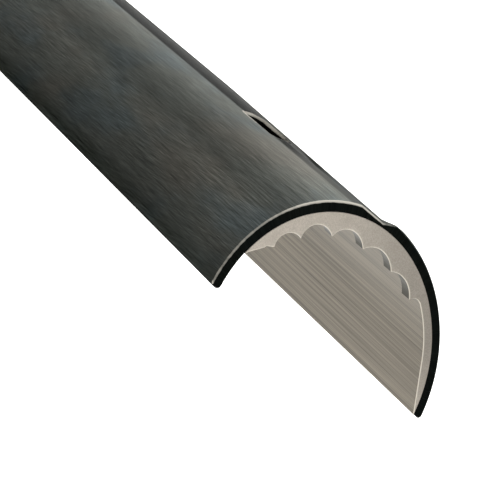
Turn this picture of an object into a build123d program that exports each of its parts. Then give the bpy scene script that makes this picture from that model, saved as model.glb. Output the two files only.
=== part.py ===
from build123d import *
from math import cos, degrees, radians, sin, tan
import os

# Half-round clay cutter: a raked steel channel with a scoring comb, on an eight-sided handle.
# Millimetres. +X runs along the tool to its mouth, +Y across it, +Z up to the crown.
# The tool lies on the bench, z = 0, and the origin is under the middle of its length.
# Angles round the channel are counted from the crown, positive towards +Y.

# Shell: the outer half-round
shell_radius = 12.5
shell_wall = 0.9
blade_length = 114.0       # from the mouth's rims to the ferrule
mouth_rake = 17.0          # lean of the mouth, crown set back
rim_round = 0.35
overrun = 1.0              # how far the cuts reach past the metal

# Crown of the shell: a groove from the mouth to the slot, a relief ground beside it, a track behind it
groove_left = -13.0        # the groove's three corners, in degrees round the channel
groove_floor = -0.5
groove_right = 6.1
groove_depth = 0.55
groove_length = 18.0       # at full depth
groove_runout = 8.0
groove_tip = 0.1           # radius of the runout's end
relief_angle = 5.0
relief_depth = 0.47        # deepest just behind the mouth's lip
relief_run = 40.0          # until it has run out
lip_length = 1.3
track_left = -17.5
track_right = 9.0
track_depth = 0.12

# Slot through shell and liner, at the end of the groove
slot_setback = 24.4        # from the mouth's rims to the slot's middle
slot_angle = -13.0
slot_length = 7.8
slot_width = 2.1

# Liner: the inner half-round, short of one rim of the shell
liner_wall = 0.9
liner_left = -72.0
liner_right = 90.0
left_bevel = 1.82          # widths of the bevels along its long edges
right_bevel = 4.45

# Comb: six teeth on the mouth of the liner, (angle, height above the bore)
comb_depth = 1.6
comb_start = -62.0
comb_end = 41.5
tooth_tips = [(-58.6, 0.48), (-43.7, 0.9), (-25.5, 1.12), (-4.9, 1.46), (17.4, 1.31), (36.2, 0.92)]
tooth_roots = [(-49.6, 0.05), (-34.4, 0.08), (-17.6, 0.41), (3.4, 0.74), (23.4, 0.72), (39.6, 0.06)]

# Block, rivets and pins that hold the blade
tongue_length = 14.0       # how far the block reaches ahead of the ferrule
tongue_chamfer = 3.0
block_recess = 1.0         # the block's round part, behind the ferrule's front
rivet_radius = 1.25
rivet_head_radius = 2.3
rivet_head_height = 0.9
rivet_head_taper = 20
rivet_head_round = 0.45
rivet_angle = 45.0
rivet_setback = 6.5        # ahead of the ferrule
rivet_depth = 3.0          # into the block

# Ferrule
ferrule_length = 18.0
ferrule_wall = 1.5
ferrule_chamfer = 0.5
ferrule_groove = 0.4       # radius of the turned rings near its rear
ferrule_rings = (2.0, 3.6)
pin_radius = 1.0
pin_depth = 4.0            # into the block
pin_drop = 3.5             # below the channel's axis
pin_setback = 7.0          # ahead of the ferrule's rear

# Tang rod
rod_radius = 3.0
rod_gap = 0.2              # round the rod in the handle and the washer
rod_in_block = 12.0
rod_in_cap = 7.0
rod_chamfer = 0.6

# Handle
handle_length = 82.0
handle_sides = 8
handle_corner = 2.6
front_cone = 4.0
rear_turning = 14.0
rear_radius = 11.5

# Washer and end cap
washer_thickness = 1.5
cap_body = 4.5
boss_radius = 6.0
boss_length = 11.0
boss_flats = 8.0
cap_round = 1.2
hang_radius = 2.5

# Sizes that follow
liner_radius = shell_radius - shell_wall
bore_radius = liner_radius - liner_wall
liner_left_land = liner_left + degrees(left_bevel / liner_radius)      # where the bevels leave the bore
liner_right_land = liner_right - degrees(right_bevel / liner_radius)
comb_seat = bore_radius + liner_wall / 2
crown_setback = shell_radius * tan(radians(mouth_rake))
ferrule_radius = shell_radius + ferrule_wall
axis_height = ferrule_radius           # the ferrule and the handle's lower flat rest on the bench
handle_flats = 2 * ferrule_radius
cap_cove = rear_radius - boss_radius
half_side = 180 / handle_sides         # angle from a flat's middle to its corner
handle_reach = ferrule_radius / cos(radians(half_side))
tool_length = (blade_length + ferrule_length + handle_length
               + washer_thickness + cap_body + cap_cove + boss_length)

# Stations along X
mouth_x = tool_length / 2
ferrule_front = mouth_x - blade_length
ferrule_rear = ferrule_front - ferrule_length
handle_rear = ferrule_rear - handle_length
cap_front = handle_rear - washer_thickness
boss_front = cap_front - cap_body - cap_cove
boss_rear = boss_front - boss_length

axis_line = Axis((0, 0, axis_height), (1, 0, 0))
long_plane = Plane(origin=(0, 0, axis_height), x_dir=(1, 0, 0), z_dir=(0, -1, 0))


def section(x):
    """Plane across the tool at station x: its own x along +Y, its own y up."""
    return Plane(origin=(x, 0, axis_height), x_dir=(0, 1, 0), z_dir=(1, 0, 0))


def raked(setback):
    """Plane of the mouth, moved back along the tool."""
    tilt = radians(mouth_rake)
    return Plane(origin=(mouth_x - setback, 0, axis_height), x_dir=(0, 1, 0),
                 z_dir=(cos(tilt), 0, sin(tilt)))


def radial(x, angle, radius):
    """Plane that touches the circle of that radius at that angle, facing outwards."""
    out = Vector(0, sin(radians(angle)), cos(radians(angle)))
    return Plane(origin=Vector(x, 0, axis_height) + out * radius, x_dir=(1, 0, 0), z_dir=out)


def polar(radius, angle):
    return (radius * sin(radians(angle)), radius * cos(radians(angle)))


def arc(radius, start, end):
    """Arc round the axis, in the section's own coordinates."""
    return ThreePointArc(polar(radius, start), polar(radius, (start + end) / 2), polar(radius, end))


def save(piece, name):
    piece.label = name
    export_step(piece, f"parts/{name}.step")


slot_plane = radial(mouth_x - slot_setback, slot_angle, shell_radius)
relief_tilt = radians(relief_angle)
relief_plane = Plane(origin=(0, 0, axis_height), x_dir=(1, 0, 0),
                     z_dir=(0, -cos(relief_tilt), sin(relief_tilt)))
lip_x = mouth_x - crown_setback
relief_start = lip_x - lip_length
rivet_planes = [radial(ferrule_front + rivet_setback, side * rivet_angle, shell_radius) for side in (-1, 1)]
pin_planes = [Plane(origin=(ferrule_rear + pin_setback, side * (shell_radius - pin_depth),
                            axis_height - pin_drop), x_dir=(1, 0, 0), z_dir=(0, side, 0)) for side in (-1, 1)]

os.makedirs("parts", exist_ok=True)

# Outer shell: half-round, cut by the raked mouth, the crown's features, the slot and the rivet holes
with BuildPart() as outer_shell:
    with BuildSketch(section(ferrule_rear)):
        with BuildLine():
            arc(shell_radius, -90, 90)
            Line(polar(shell_radius, 90), polar(liner_radius, 90))
            arc(liner_radius, 90, -90)
            Line(polar(liner_radius, -90), polar(shell_radius, -90))
        make_face()
    extrude(amount=blade_length + ferrule_length)
    rims = outer_shell.edges().filter_by(Axis.X).group_by(Axis.Z)[0]
    fillet(rims, radius=rim_round)
    split(bisect_by=raked(0), keep=Keep.BOTTOM)
    with BuildSketch(section(ferrule_rear)):
        with BuildLine():
            arc(shell_radius - track_depth, track_left, track_right)
            Polyline(polar(shell_radius - track_depth, track_right),
                     polar(shell_radius + overrun, track_right),
                     polar(shell_radius + overrun, track_left),
                     polar(shell_radius - track_depth, track_left))
        make_face()
    extrude(amount=blade_length + ferrule_length - slot_setback, mode=Mode.SUBTRACT)
    with BuildSketch(section(mouth_x - groove_length)) as groove_profile:
        with BuildLine():
            Polyline(polar(shell_radius, groove_left), polar(shell_radius - groove_depth, groove_floor),
                     polar(shell_radius, groove_right), polar(shell_radius + overrun, groove_floor),
                     close=True)
        make_face()
    extrude(amount=groove_length, mode=Mode.SUBTRACT)
    with BuildSketch(section(mouth_x - groove_length)):
        add(groove_profile.sketch_local)
    with BuildSketch(section(mouth_x - groove_length - groove_runout)):
        with Locations(polar(shell_radius, groove_floor)):
            Circle(groove_tip)
    loft(mode=Mode.SUBTRACT)
    with BuildSketch(relief_plane):
        with BuildLine():
            Polyline((lip_x, shell_radius), (relief_start, shell_radius - relief_depth),
                     (relief_start - relief_run, shell_radius),
                     (relief_start - relief_run, shell_radius + overrun),
                     (lip_x, shell_radius + overrun), close=True)
        make_face()
    extrude(amount=shell_radius / 2, both=True, mode=Mode.SUBTRACT)
    with BuildSketch(slot_plane):
        SlotOverall(slot_length, slot_width)
    extrude(amount=shell_wall + liner_wall, both=True, mode=Mode.SUBTRACT)
    with BuildSketch(*rivet_planes):
        Circle(rivet_radius)
    extrude(amount=shell_wall + liner_wall, both=True, mode=Mode.SUBTRACT)
save(outer_shell.part, "outer_shell")

# Comb: a flange in the liner's mouth, its inner edge cut into teeth and round gaps
with BuildPart() as comb:
    with BuildSketch(section(mouth_x - shell_radius)):
        with BuildLine():
            tips = [polar(bore_radius - height, angle) for angle, height in tooth_tips]
            roots = [polar(bore_radius - height, angle) for angle, height in tooth_roots]
            Line(polar(bore_radius, comb_start), tips[0])
            for tip, root, following in zip(tips, roots, tips[1:] + [polar(bore_radius, comb_end)]):
                ThreePointArc(tip, root, following)
            Line(polar(bore_radius, comb_end), polar(comb_seat, comb_end))
            arc(comb_seat, comb_end, comb_start)
            Line(polar(comb_seat, comb_start), polar(bore_radius, comb_start))
        make_face()
    extrude(amount=2 * shell_radius)
    split(bisect_by=raked(0), keep=Keep.BOTTOM)
    split(bisect_by=raked(comb_depth), keep=Keep.TOP)

# Serrated liner: bevelled half-round with the comb, slotted like the shell
with BuildPart() as serrated_liner:
    with BuildSketch(section(ferrule_rear)):
        with BuildLine():
            arc(liner_radius, liner_left, liner_right)
            Line(polar(liner_radius, liner_right), polar(bore_radius, liner_right_land))
            arc(bore_radius, liner_right_land, liner_left_land)
            Line(polar(bore_radius, liner_left_land), polar(liner_radius, liner_left))
        make_face()
    extrude(amount=blade_length + ferrule_length)
    split(bisect_by=raked(0), keep=Keep.BOTTOM)
    add(comb.part)
    with BuildSketch(slot_plane):
        SlotOverall(slot_length, slot_width)
    extrude(amount=-2 * (shell_wall + liner_wall), mode=Mode.SUBTRACT)
    with BuildSketch(*rivet_planes):
        Circle(rivet_radius)
    extrude(amount=-2 * (shell_wall + liner_wall), mode=Mode.SUBTRACT)
save(serrated_liner.part, "serrated_liner")

# Tang block: a tongue that fills the rear of the channel, and a round half that fills the ferrule
with BuildPart() as tang_block:
    with BuildSketch(section(ferrule_rear)):
        Circle(bore_radius)
        with Locations((0, -bore_radius)):
            Rectangle(2 * bore_radius, 2 * bore_radius, mode=Mode.SUBTRACT)
    extrude(amount=ferrule_length + tongue_length)
    tongue_front = tang_block.faces().sort_by(Axis.X)[-1]
    chamfer(tongue_front.edges().filter_by(Axis.Y), length=tongue_chamfer)
    with BuildSketch(section(ferrule_rear)):
        Circle(shell_radius)
        with Locations((0, shell_radius)):
            Rectangle(2 * shell_radius, 2 * shell_radius, mode=Mode.SUBTRACT)
    extrude(amount=ferrule_length - block_recess)
    with BuildSketch(section(ferrule_rear)):
        Circle(rod_radius)
    extrude(amount=rod_in_block, mode=Mode.SUBTRACT)
    with BuildSketch(*rivet_planes):
        Circle(rivet_radius)
    extrude(amount=-(shell_wall + liner_wall + rivet_depth), mode=Mode.SUBTRACT)
    with BuildSketch(*pin_planes):
        Circle(pin_radius)
    extrude(amount=ferrule_radius, mode=Mode.SUBTRACT)
save(tang_block.part, "tang_block")

# Blade rivets: round heads seated on the shell, shanks through shell and liner into the block
with BuildPart() as blade_rivets:
    with BuildSketch(*rivet_planes):
        Circle(rivet_head_radius)
    extrude(amount=rivet_head_height, taper=rivet_head_taper)
    fillet(blade_rivets.faces().filter_by(GeomType.PLANE).edges().filter_by(GeomType.CIRCLE)
           .filter_by(lambda edge: edge.radius < rivet_head_radius - rivet_head_round / 2),
           radius=rivet_head_round)
    with BuildSketch(*rivet_planes):
        Circle(rivet_head_radius)
    extrude(amount=-shell_wall)
    with BuildSketch(section(ferrule_rear)):
        Circle(shell_radius)
    extrude(amount=blade_length, mode=Mode.SUBTRACT)
    with BuildSketch(*rivet_planes):
        Circle(rivet_radius)
    extrude(amount=-(shell_wall + liner_wall + rivet_depth))
save(blade_rivets.part, "blade_rivets")

# Ferrule: a turned ring over shell and block, with two grooves near its rear
with BuildPart() as ferrule:
    with BuildSketch(long_plane) as ring_profile:
        with Locations((ferrule_rear, shell_radius)):
            Rectangle(ferrule_length, ferrule_wall, align=(Align.MIN, Align.MIN))
        chamfer(ring_profile.vertices().group_by(Axis.Z)[-1], length=ferrule_chamfer)
        with Locations(*[(ferrule_rear + step, ferrule_radius) for step in ferrule_rings]):
            Circle(ferrule_groove, mode=Mode.SUBTRACT)
    revolve(axis=axis_line)
    with BuildSketch(*pin_planes):
        Circle(pin_radius)
    extrude(amount=ferrule_radius, mode=Mode.SUBTRACT)
save(ferrule.part, "ferrule")

# Ferrule pins: one in each side, ground flush with the ferrule
with BuildPart() as ferrule_pins:
    with BuildSketch(*pin_planes):
        Circle(pin_radius)
    extrude(amount=ferrule_radius)
    with BuildSketch(section(ferrule_rear)):
        Circle(ferrule_radius)
    extrude(amount=ferrule_length, mode=Mode.INTERSECT)
save(ferrule_pins.part, "ferrule_pins")

# Tang rod: from the block through the handle and the washer into the end cap
with BuildPart() as tang_rod:
    with BuildSketch(section(cap_front - rod_in_cap)):
        Circle(rod_radius)
    extrude(amount=ferrule_rear + rod_in_block - cap_front + rod_in_cap)
    chamfer(tang_rod.edges().filter_by(GeomType.CIRCLE), length=rod_chamfer)
save(tang_rod.part, "tang_rod")

# Handle: eight flats with rounded corners, turned down at each end, bored for the rod
with BuildPart() as handle:
    with BuildSketch(section(handle_rear)) as octagon:
        RegularPolygon(radius=handle_flats / 2, side_count=handle_sides, major_radius=False,
                       rotation=half_side)
        fillet(octagon.vertices(), radius=handle_corner)
    extrude(amount=handle_length)
    with BuildSketch(long_plane):
        with BuildLine():
            Polyline((handle_rear + rear_turning, handle_reach), (ferrule_rear - front_cone, handle_reach),
                     (ferrule_rear, ferrule_radius), (ferrule_rear, 0), (handle_rear, 0),
                     (handle_rear, rear_radius))
            TangentArc((handle_rear + rear_turning, handle_reach), (handle_rear, rear_radius),
                       tangent=(-1, 0))
        make_face()
    revolve(axis=axis_line, mode=Mode.INTERSECT)
    with BuildSketch(section(handle_rear)):
        Circle(rod_radius + rod_gap)
    extrude(amount=handle_length, mode=Mode.SUBTRACT)
save(handle.part, "handle")

# Cap washer: fibre ring that takes up the wood's movement
with BuildPart() as cap_washer:
    with BuildSketch(section(cap_front)):
        Circle(rear_radius)
        Circle(rod_radius + rod_gap, mode=Mode.SUBTRACT)
    extrude(amount=washer_thickness)
save(cap_washer.part, "cap_washer")

# End cap: turned body, cove and boss, with a blind hole for the rod and a hanging hole across the boss
with BuildPart() as end_cap:
    with BuildSketch(long_plane):
        with BuildLine():
            Polyline((cap_front, 0), (cap_front, rear_radius), (cap_front - cap_body, rear_radius))
            TangentArc((boss_front, boss_radius), (cap_front - cap_body, rear_radius), tangent=(1, 0))
            Polyline((boss_front, boss_radius), (boss_rear, boss_radius), (boss_rear, 0), (cap_front, 0))
        make_face()
    revolve(axis=axis_line)
    fillet(end_cap.faces().sort_by(Axis.X)[0].edges(), radius=cap_round)
    with BuildSketch(section(boss_rear)):
        with Locations((0, boss_flats / 2 + boss_radius), (0, -boss_flats / 2 - boss_radius)):
            Rectangle(2 * boss_radius, 2 * boss_radius)
    extrude(amount=boss_length, mode=Mode.SUBTRACT)
    with BuildSketch(Plane.XY):
        with Locations((boss_rear + boss_length / 2, 0)):
            Circle(hang_radius)
    extrude(amount=2 * axis_height, mode=Mode.SUBTRACT)
    with BuildSketch(section(cap_front)):
        Circle(rod_radius)
    extrude(amount=-rod_in_cap, mode=Mode.SUBTRACT)
save(end_cap.part, "end_cap")
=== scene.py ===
import bpy
import bmesh
import numpy as np
from mathutils import Matrix, Vector


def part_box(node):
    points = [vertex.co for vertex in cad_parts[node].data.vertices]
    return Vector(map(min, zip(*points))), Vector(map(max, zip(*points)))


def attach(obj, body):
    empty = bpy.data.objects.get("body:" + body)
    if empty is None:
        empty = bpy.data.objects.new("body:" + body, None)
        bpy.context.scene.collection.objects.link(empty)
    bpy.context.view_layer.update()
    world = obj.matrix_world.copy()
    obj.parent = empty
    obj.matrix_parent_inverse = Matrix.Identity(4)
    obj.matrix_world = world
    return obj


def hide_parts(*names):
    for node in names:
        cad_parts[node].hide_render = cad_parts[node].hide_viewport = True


# Half-round clay cutter: black channel with a bare comb in its mouth, ferrule, walnut handle, end cap.
# Every shape below is worked out in millimetres, with +X to the mouth and +Z to the crown.

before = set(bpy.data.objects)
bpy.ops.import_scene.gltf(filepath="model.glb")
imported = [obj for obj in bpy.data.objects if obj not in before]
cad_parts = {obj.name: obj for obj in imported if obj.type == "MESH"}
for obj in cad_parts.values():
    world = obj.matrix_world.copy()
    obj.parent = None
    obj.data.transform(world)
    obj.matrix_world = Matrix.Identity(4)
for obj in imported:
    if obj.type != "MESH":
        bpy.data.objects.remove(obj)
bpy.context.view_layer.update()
scene = bpy.context.scene
mm = 0.001

# stations along the tool, read from the CAD nodes
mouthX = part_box("outer_shell")[1].x / mm
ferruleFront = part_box("ferrule")[1].x / mm
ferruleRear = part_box("ferrule")[0].x / mm
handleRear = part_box("handle")[0].x / mm
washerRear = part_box("cap_washer")[0].x / mm
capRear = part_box("end_cap")[0].x / mm
axisZ = (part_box("ferrule")[0].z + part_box("ferrule")[1].z) / 2 / mm
print("frame loaded, tool is", round(mouthX - capRear, 1), "mm long")


def place(x, angle, radius):
    # point at station x, at an angle in degrees from the crown and a distance from the channel's axis
    turn = np.radians(angle)
    x, turn, radius = np.broadcast_arrays(x, turn, radius)
    return np.stack([x, radius * np.sin(turn), axisZ + radius * np.cos(turn)], -1)


def gridFaces(rows, columns, wrapRows=False, wrapColumns=False):
    # each point of the grid is joined to its neighbours in the next row and column by a four-sided face
    row, column = np.meshgrid(np.arange(rows if wrapRows else rows - 1),
                              np.arange(columns if wrapColumns else columns - 1), indexing="ij")
    nextRow, nextColumn = (row + 1) % rows, (column + 1) % columns
    corners = [row * columns + column, row * columns + nextColumn,
               nextRow * columns + nextColumn, nextRow * columns + column]
    return np.stack(corners, -1).reshape(-1, 4)


def tubeFaces(rows, columns):
    # grid closed round its columns, with a flat cap over its first row and over its last
    caps = [[row * columns + i for i in range(columns)] for row in (0, rows - 1)]
    return gridFaces(rows, columns, False, True).tolist() + caps


def makePiece(name, points, faces, sharpAngle=32):
    # points in millimetres go into a mesh in metres; normals are turned outwards and corners kept crisp
    mesh = bpy.data.meshes.new(name)
    mesh.from_pydata((points.reshape(-1, 3) * mm).tolist(), [], [list(map(int, face)) for face in faces])
    work = bmesh.new()
    work.from_mesh(mesh)
    bmesh.ops.remove_doubles(work, verts=work.verts, dist=2e-7)
    bmesh.ops.recalc_face_normals(work, faces=work.faces)
    if work.calc_volume(signed=True) < 0:
        bmesh.ops.reverse_faces(work, faces=work.faces)
    work.to_mesh(mesh)
    work.free()
    mesh.shade_smooth()
    mesh.set_sharp_from_angle(angle=np.radians(sharpAngle))
    piece = bpy.data.objects.new(name, mesh)
    scene.collection.objects.link(piece)
    return piece


def cutPiece(piece, cutters, sharpAngle=32):
    # piece minus each closed cutter, worked out once and kept as the piece's own mesh
    for cutter in cutters:
        change = piece.modifiers.new("cut", "BOOLEAN")
        change.operation = "DIFFERENCE"
        change.solver = "MANIFOLD"
        change.object = cutter
    shape = piece.evaluated_get(bpy.context.evaluated_depsgraph_get())
    mesh = bpy.data.meshes.new_from_object(shape)
    piece.modifiers.clear()
    mesh.name = piece.name
    piece.data = mesh
    for cutter in cutters:
        bpy.data.objects.remove(cutter)
    mesh.shade_smooth()
    mesh.set_sharp_from_angle(angle=np.radians(sharpAngle))
    return piece


def meshPoints(piece):
    # all points of a piece, in millimetres, as one array
    flat = np.zeros(len(piece.data.vertices) * 3)
    piece.data.vertices.foreach_get("co", flat)
    return flat.reshape(-1, 3) / mm


def channelPlaces(piece):
    # for each point its angle from the crown, distance from the axis, distance behind the mouth, and station
    x, y, z = meshPoints(piece).T
    return np.degrees(np.arctan2(y, z - axisZ)), np.hypot(y, z - axisZ), mouthX - x - rake * (z - axisZ), x


def storeValue(piece, name, values):
    # one number for each point of the mesh, for a material to read
    layer = piece.data.attributes.new(name, "FLOAT", "POINT")
    layer.data.foreach_set("value", np.asarray(values, dtype=np.float32))


def storeSkinMap(piece):
    # a flat map in millimetres: round the channel's outside one way, along the tool the other
    mesh = piece.data
    corner = np.zeros(len(mesh.loops), dtype=np.int32)
    mesh.loops.foreach_get("vertex_index", corner)
    points = meshPoints(piece)[corner]
    turn = np.arctan2(points[:, 1], points[:, 2] - axisZ)
    flat = np.stack([turn * shell["radius"], points[:, 0]], -1)
    layer = mesh.uv_layers.new(name="skinMap")
    layer.data.foreach_set("uv", flat.astype(np.float32).ravel())


def smoothStep(low, high, value):
    # 0 below low, 1 above high, an even S between them
    t = np.clip((value - low) / (high - low), 0, 1)
    return t * t * (3 - 2 * t)


def turnedPiece(name, stations, radii, steps=160, sharpAngle=32):
    # a closed profile of stations and radii carried round the channel's axis
    angle = np.linspace(0, 360, steps, endpoint=False)
    points = place(np.array(stations)[:, None], angle[None, :], np.array(radii)[:, None])
    return makePiece(name, points, gridFaces(len(stations), steps, True, True), sharpAngle)


def channelPiece(name, angles, outerX, outerR, faceX, faceR, innerX, innerR):
    # each column is a closed path: along the outside to the mouth, over its face, back along the inside;
    # the columns go round the channel from one rim to the other, and both rims are closed by a strip
    x = np.concatenate([outerX, faceX, innerX])
    r = np.concatenate([outerR, faceR, innerR])
    rows, columns = x.shape
    points = place(x, angles[None, :], r)
    faces = gridFaces(rows, columns, True, False).tolist()
    count = len(outerX)
    for column in (0, columns - 1):
        out = np.arange(count) * columns + column
        back = (rows - 1 - np.arange(count)) * columns + column
        strip = np.stack([out[:-1], out[1:], back[1:], back[:-1]], -1)
        faces += strip.tolist()
        middle = (count - 1 + np.arange(len(faceX) + 2)) * columns + column
        faces.append(middle.tolist())
    return makePiece(name, points, faces)


def obroundCutter(name, slotValues, depth):
    # slot-shaped prism square to the skin, its wall flared where it meets the skin and rounded there
    turn = np.linspace(0, 360, 72, endpoint=False)
    rad = np.radians(turn)
    half = (slotValues["length"] - slotValues["width"]) / 2
    rows = []
    for lift, flare in ((-depth, 0), (-slotValues["worn"], 0), (-0.72 * slotValues["worn"], 0.06),
                        (-0.4 * slotValues["worn"], 0.2), (-0.12 * slotValues["worn"], 0.5),
                        (0.5, 0.9), (1.2, 1.0)):
        reach = slotValues["width"] / 2 + flare * slotValues["worn"]
        along = np.sign(np.cos(rad)) * half + reach * np.cos(rad)
        across = reach * np.sin(rad)
        angle = slotValues["angle"] + np.degrees(np.arctan2(across, shell["radius"]))
        x = mouthX - slotValues["setback"] + along
        skin = skinRadius(angle, x)
        ground = skin * np.cos(np.radians(angle - slotValues["angle"])) - shell["radius"]
        height = shell["radius"] + (ground if lift > -depth else 0 * ground) + lift
        tilt = np.radians(slotValues["angle"])
        rows.append(np.stack([x, height * np.sin(tilt) + across * np.cos(tilt),
                              axisZ + height * np.cos(tilt) - across * np.sin(tilt)], -1))
    return makePiece(name, np.array(rows), tubeFaces(len(rows), len(turn)))


def rodCutter(name, base, direction, radii, lifts):
    # rod along a direction, its radius changing with the distance from its base
    turn = np.radians(np.linspace(0, 360, 48, endpoint=False))
    direction = np.array(direction, float)
    side = np.cross(direction, (1.0, 0, 0)) if abs(direction[0]) < 0.9 else np.array((0, 1.0, 0))
    other = np.cross(direction, side)
    ring = np.cos(turn)[:, None] * side + np.sin(turn)[:, None] * other
    points = (np.array(base, float) + np.array(lifts)[:, None, None] * direction
              + np.array(radii)[:, None, None] * ring[None])
    return makePiece(name, points, tubeFaces(len(radii), len(turn)))


def linearColour(hexText):
    # sRGB hex to linear light: a straight foot, then the 2.4 power
    value = np.array([int(hexText[i:i + 2], 16) for i in (1, 3, 5)]) / 255
    linear = np.where(value <= 0.04045, value / 12.92, ((value + 0.055) / 1.055) ** 2.4)
    return (*linear.tolist(), 1)


def addNode(tree, kind, inputs=(), output=0, **settings):
    # one node: settings are its own properties, inputs are numbers, hex colours or sockets to link from
    node = tree.nodes.new("ShaderNode" + kind)
    for key, value in settings.items():
        setattr(node, key, value)
    for key, value in (inputs.items() if isinstance(inputs, dict) else enumerate(inputs)):
        if isinstance(value, bpy.types.NodeSocket):
            tree.links.new(value, node.inputs[key])
        else:
            node.inputs[key].default_value = linearColour(value) if isinstance(value, str) else value
    return node.outputs[output] if len(node.outputs) else node


eased = {"interpolation_type": "SMOOTHSTEP"}    # a range with soft ends


def grainPattern(tree, source, pitch, detail=4, rough=0.6, shift=(0, 0, 0)):
    # noise whose grain is pitch[0] x pitch[1] x pitch[2] in the source's own units
    scaled = addNode(tree, "Mapping", {"Vector": source, "Scale": tuple(1 / p for p in pitch),
                                       "Location": shift})
    return addNode(tree, "TexNoise", {"Vector": scaled, "Scale": 1.0, "Detail": detail,
                                      "Roughness": rough}, "Fac")


def layOver(tree, tone, layers):
    # each layer's colour goes over what lies below it, by its amount
    for amount, colour in layers:
        tone = addNode(tree, "Mix", {0: amount, 6: tone, 7: colour}, 2, data_type="RGBA")
    return tone


def newMaterial(name, settings):
    # empty node material with one shader; settings go straight on its sockets
    material = bpy.data.materials.new(name)
    material.use_nodes = True
    tree = material.node_tree
    tree.nodes.clear()
    surface = addNode(tree, "BsdfPrincipled", settings)
    addNode(tree, "OutputMaterial", {"Surface": surface})
    return material, tree, surface.node


def joinSurface(tree, shader, tone, rough, bump):
    # colour, roughness and relief go into the shader
    for name, source in (("Base Color", tone), ("Roughness", rough), ("Normal", bump)):
        tree.links.new(source, shader.inputs[name])


def dress(piece, material):
    # the material becomes the piece's only one
    piece.data.materials.clear()
    piece.data.materials.append(material)


def dressNode(name, material):
    # a CAD node keeps its mesh and takes the material in its object's own slots
    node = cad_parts[name]
    for slot in node.material_slots:
        slot.link = "OBJECT"
        slot.material = material


# Mild steel, blackened and then brushed lengthwise: dark and silky, pale metal where edges have worn bare
skinSteel = {
    "black": "#070A08", "grey": "#979B94", "blue": "#8E999A", "brown": "#A09C92", "bare": "#B3AFA5",
    "lines": (0.11, 9.0), "cross": (0.1, 4.0), "crossTurn": 0.12,     # mm; the real 0.05 mm drawn coarser
    "lineStrength": 0.62, "crossStrength": 0.3, "lineDepth": 0.012,
    "cloud": (6.0, 14.0), "stain": (9.0, 22.0), "chips": 0.5,         # mm
    "roughness": (0.36, 0.52), "flare": (0.38, 0.5),
}


def blackenedSteelBrushed():
    # from black to grey by the stored patina and painted shade, times two sets of lines, then bare metal by
    # wear
    v = skinSteel
    material, tree, shader = newMaterial("blackenedSteelBrushed", {"Metallic": 1.0})
    flat = addNode(tree, "UVMap", uv_map="skinMap")
    patinaAndPaintedShade = addNode(tree, "Attribute", output="Fac", attribute_name="patinaAndPaintedShade")
    wear = addNode(tree, "Attribute", output="Fac", attribute_name="wear")
    across, along = v["lines"]
    lines = grainPattern(tree, flat, (across, along, 1), 5, 0.65)
    hairs = grainPattern(tree, flat, (across * 0.45, along * 0.3, 1), 3, 0.6, (3, 7, 0))
    turned = addNode(tree, "Mapping", {"Vector": flat, "Rotation": (0, 0, v["crossTurn"])})
    cross = grainPattern(tree, turned, (*v["cross"], 1), 4, 0.7, (9, 2, 0))
    cloud = grainPattern(tree, flat, (*v["cloud"], 1), 4, 0.55, (1, 4, 0))
    stain = grainPattern(tree, flat, (*v["stain"], 1), 3, 0.5, (8, 5, 0))
    # the rubbed steel's own colour, with cool and warm patches
    cool = addNode(tree, "MapRange", [cloud, 0.46, 0.66, 0, 0.9], **eased)
    warm = addNode(tree, "MapRange", [stain, 0.48, 0.7, 0, 0.8], **eased)
    skin = layOver(tree, v["grey"], [(cool, v["blue"]), (warm, v["brown"])])
    # painted shade and light: the stored tone takes the skin from black to grey
    tone = layOver(tree, v["black"], [(patinaAndPaintedShade, skin)])
    # brush lines lighten and darken it
    broad = addNode(tree, "Math", [lines, 0.6], operation="MULTIPLY")
    thin = addNode(tree, "Math", [hairs, 0.4], operation="MULTIPLY")
    fine = addNode(tree, "Math", [broad, thin], operation="ADD")
    light = addNode(tree, "MapRange", [fine, 0.36, 0.64, 1 - v["lineStrength"], 1 + v["lineStrength"]])
    lightCross = addNode(tree, "MapRange", [cross, 0.36, 0.64,
                                            1 - v["crossStrength"], 1 + v["crossStrength"]])
    both = addNode(tree, "Math", [light, lightCross], operation="MULTIPLY")
    grain = addNode(tree, "CombineColor", [both] * 3)
    tone = addNode(tree, "Mix", {0: 1.0, 6: tone, 7: grain}, 2, data_type="RGBA", blend_type="MULTIPLY")
    # bare edges, a little chipped
    chips = grainPattern(tree, flat, (v["chips"], v["chips"], 1), 3, 0.6)
    chips = addNode(tree, "MapRange", [chips, 0.35, 0.65, -0.12, 0.12])
    worn = addNode(tree, "Math", [wear, chips], operation="ADD")
    worn = addNode(tree, "MapRange", [worn, 0.25, 0.8, 0, 1], **eased)
    tone = layOver(tree, tone, [(worn, v["bare"])])
    # the blacking is a thin dark layer, so it doesn't flare to white at a flat angle as bare metal does
    flare = addNode(tree, "MapRange", [patinaAndPaintedShade, 0.05, 0.12, *v["flare"]])
    tint = addNode(tree, "CombineColor", [flare] * 3)
    rough = addNode(tree, "MapRange", [fine, 0.3, 0.7, *v["roughness"]])
    bump = addNode(tree, "Bump", {"Height": fine, "Strength": 0.35, "Distance": v["lineDepth"] * mm})
    tree.links.new(tint, shader.inputs["Specular Tint"])
    joinSurface(tree, shader, tone, rough, bump)
    return material


# Bare mild steel: brushed lengthwise inside the channel, blasted to a dull warm grey on the comb's face
bareSteel = {
    "dark": "#56514A", "light": "#958E82", "blasted": "#D0C8BD", "grain": "#AFA79C", "bright": "#DAD4C8",
    "shadow": "#4A4842", "lines": (0.15, 60.0), "streaks": (1.6, 45.0), "grit": 0.12, "patch": 2.2,
    # mm; real grit is 0.03 mm, drawn coarser
    "roughness": (0.3, 0.5), "blastedRoughness": 0.62, "gritDepth": 0.03, "lineDepth": 0.012,
}


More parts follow.
